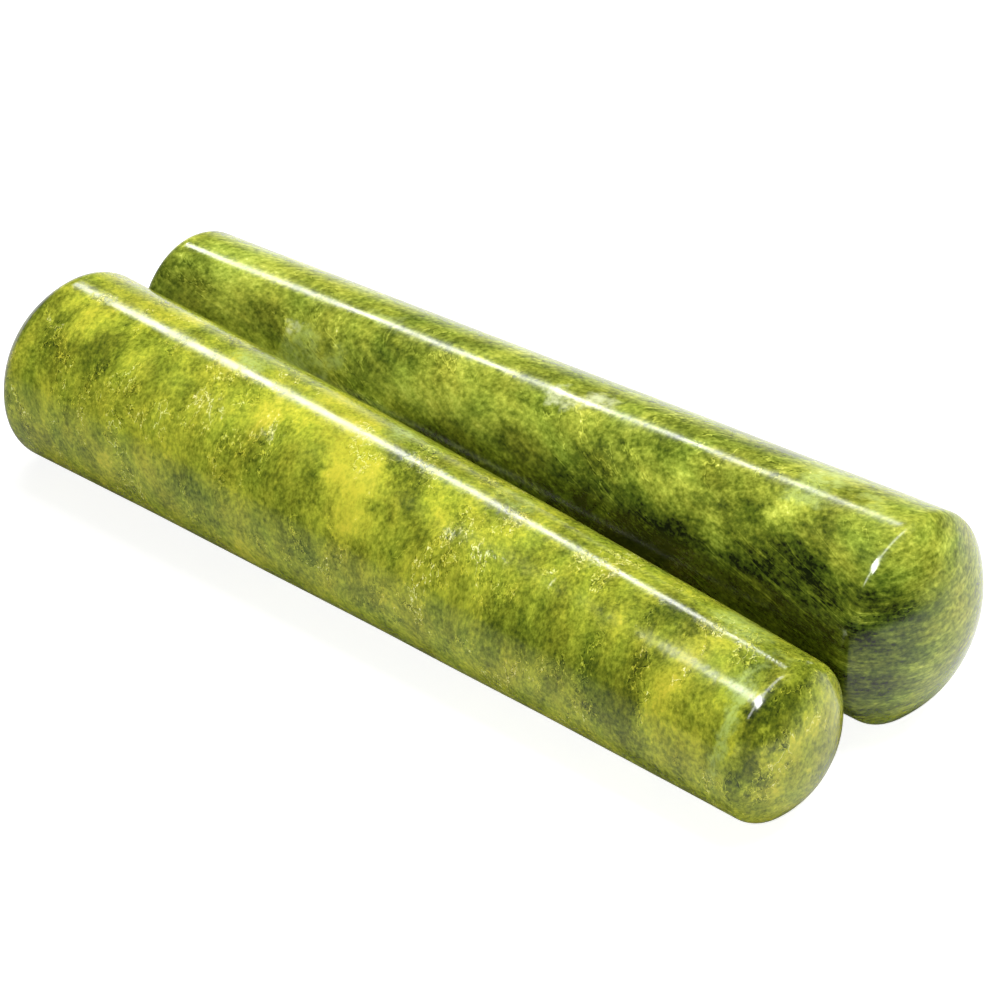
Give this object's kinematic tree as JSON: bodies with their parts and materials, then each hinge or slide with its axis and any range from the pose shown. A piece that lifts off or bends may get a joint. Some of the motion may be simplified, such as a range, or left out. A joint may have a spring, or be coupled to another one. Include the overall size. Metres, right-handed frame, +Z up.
{
  "type": "stone massage wand pair",
  "caption": "Polished jade massage wands: solid tapered round bars with domed ends, lying side by side head to tail, for rolling or pressing over the skin.",
  "frame": {"origin": "centre of the pair's bounding box, on the surface that both wands lie on", "axes": "+X along the pair, towards the narrow end of the front wand and the thick end of the rear wand; +Y from the front wand to the rear wand; +Z up from the surface"},
  "size_m": [0.1108, 0.0438, 0.0233],
  "materials": {
    "yellow_green_jade": "polished yellow-green jade, mottled with darker olive grains and bright yellow clouds",
    "dark_green_jade": "polished dark green jade, with streaks and fine veins along the bar"
  },
  "bodies": {
    "rear_wand": {"rear_wand": "dark_green_jade"},
    "front_wand": {"front_wand": "yellow_green_jade"}
  },
  "joints": [
    {"name": "front_wand_roll", "type": "hinge", "parent": "rear_wand", "child": "front_wand", "pos_m": [0, -0.01085, 0.00999], "axis": [0.9997, 0, -0.0224], "continuous": true}
  ]
}
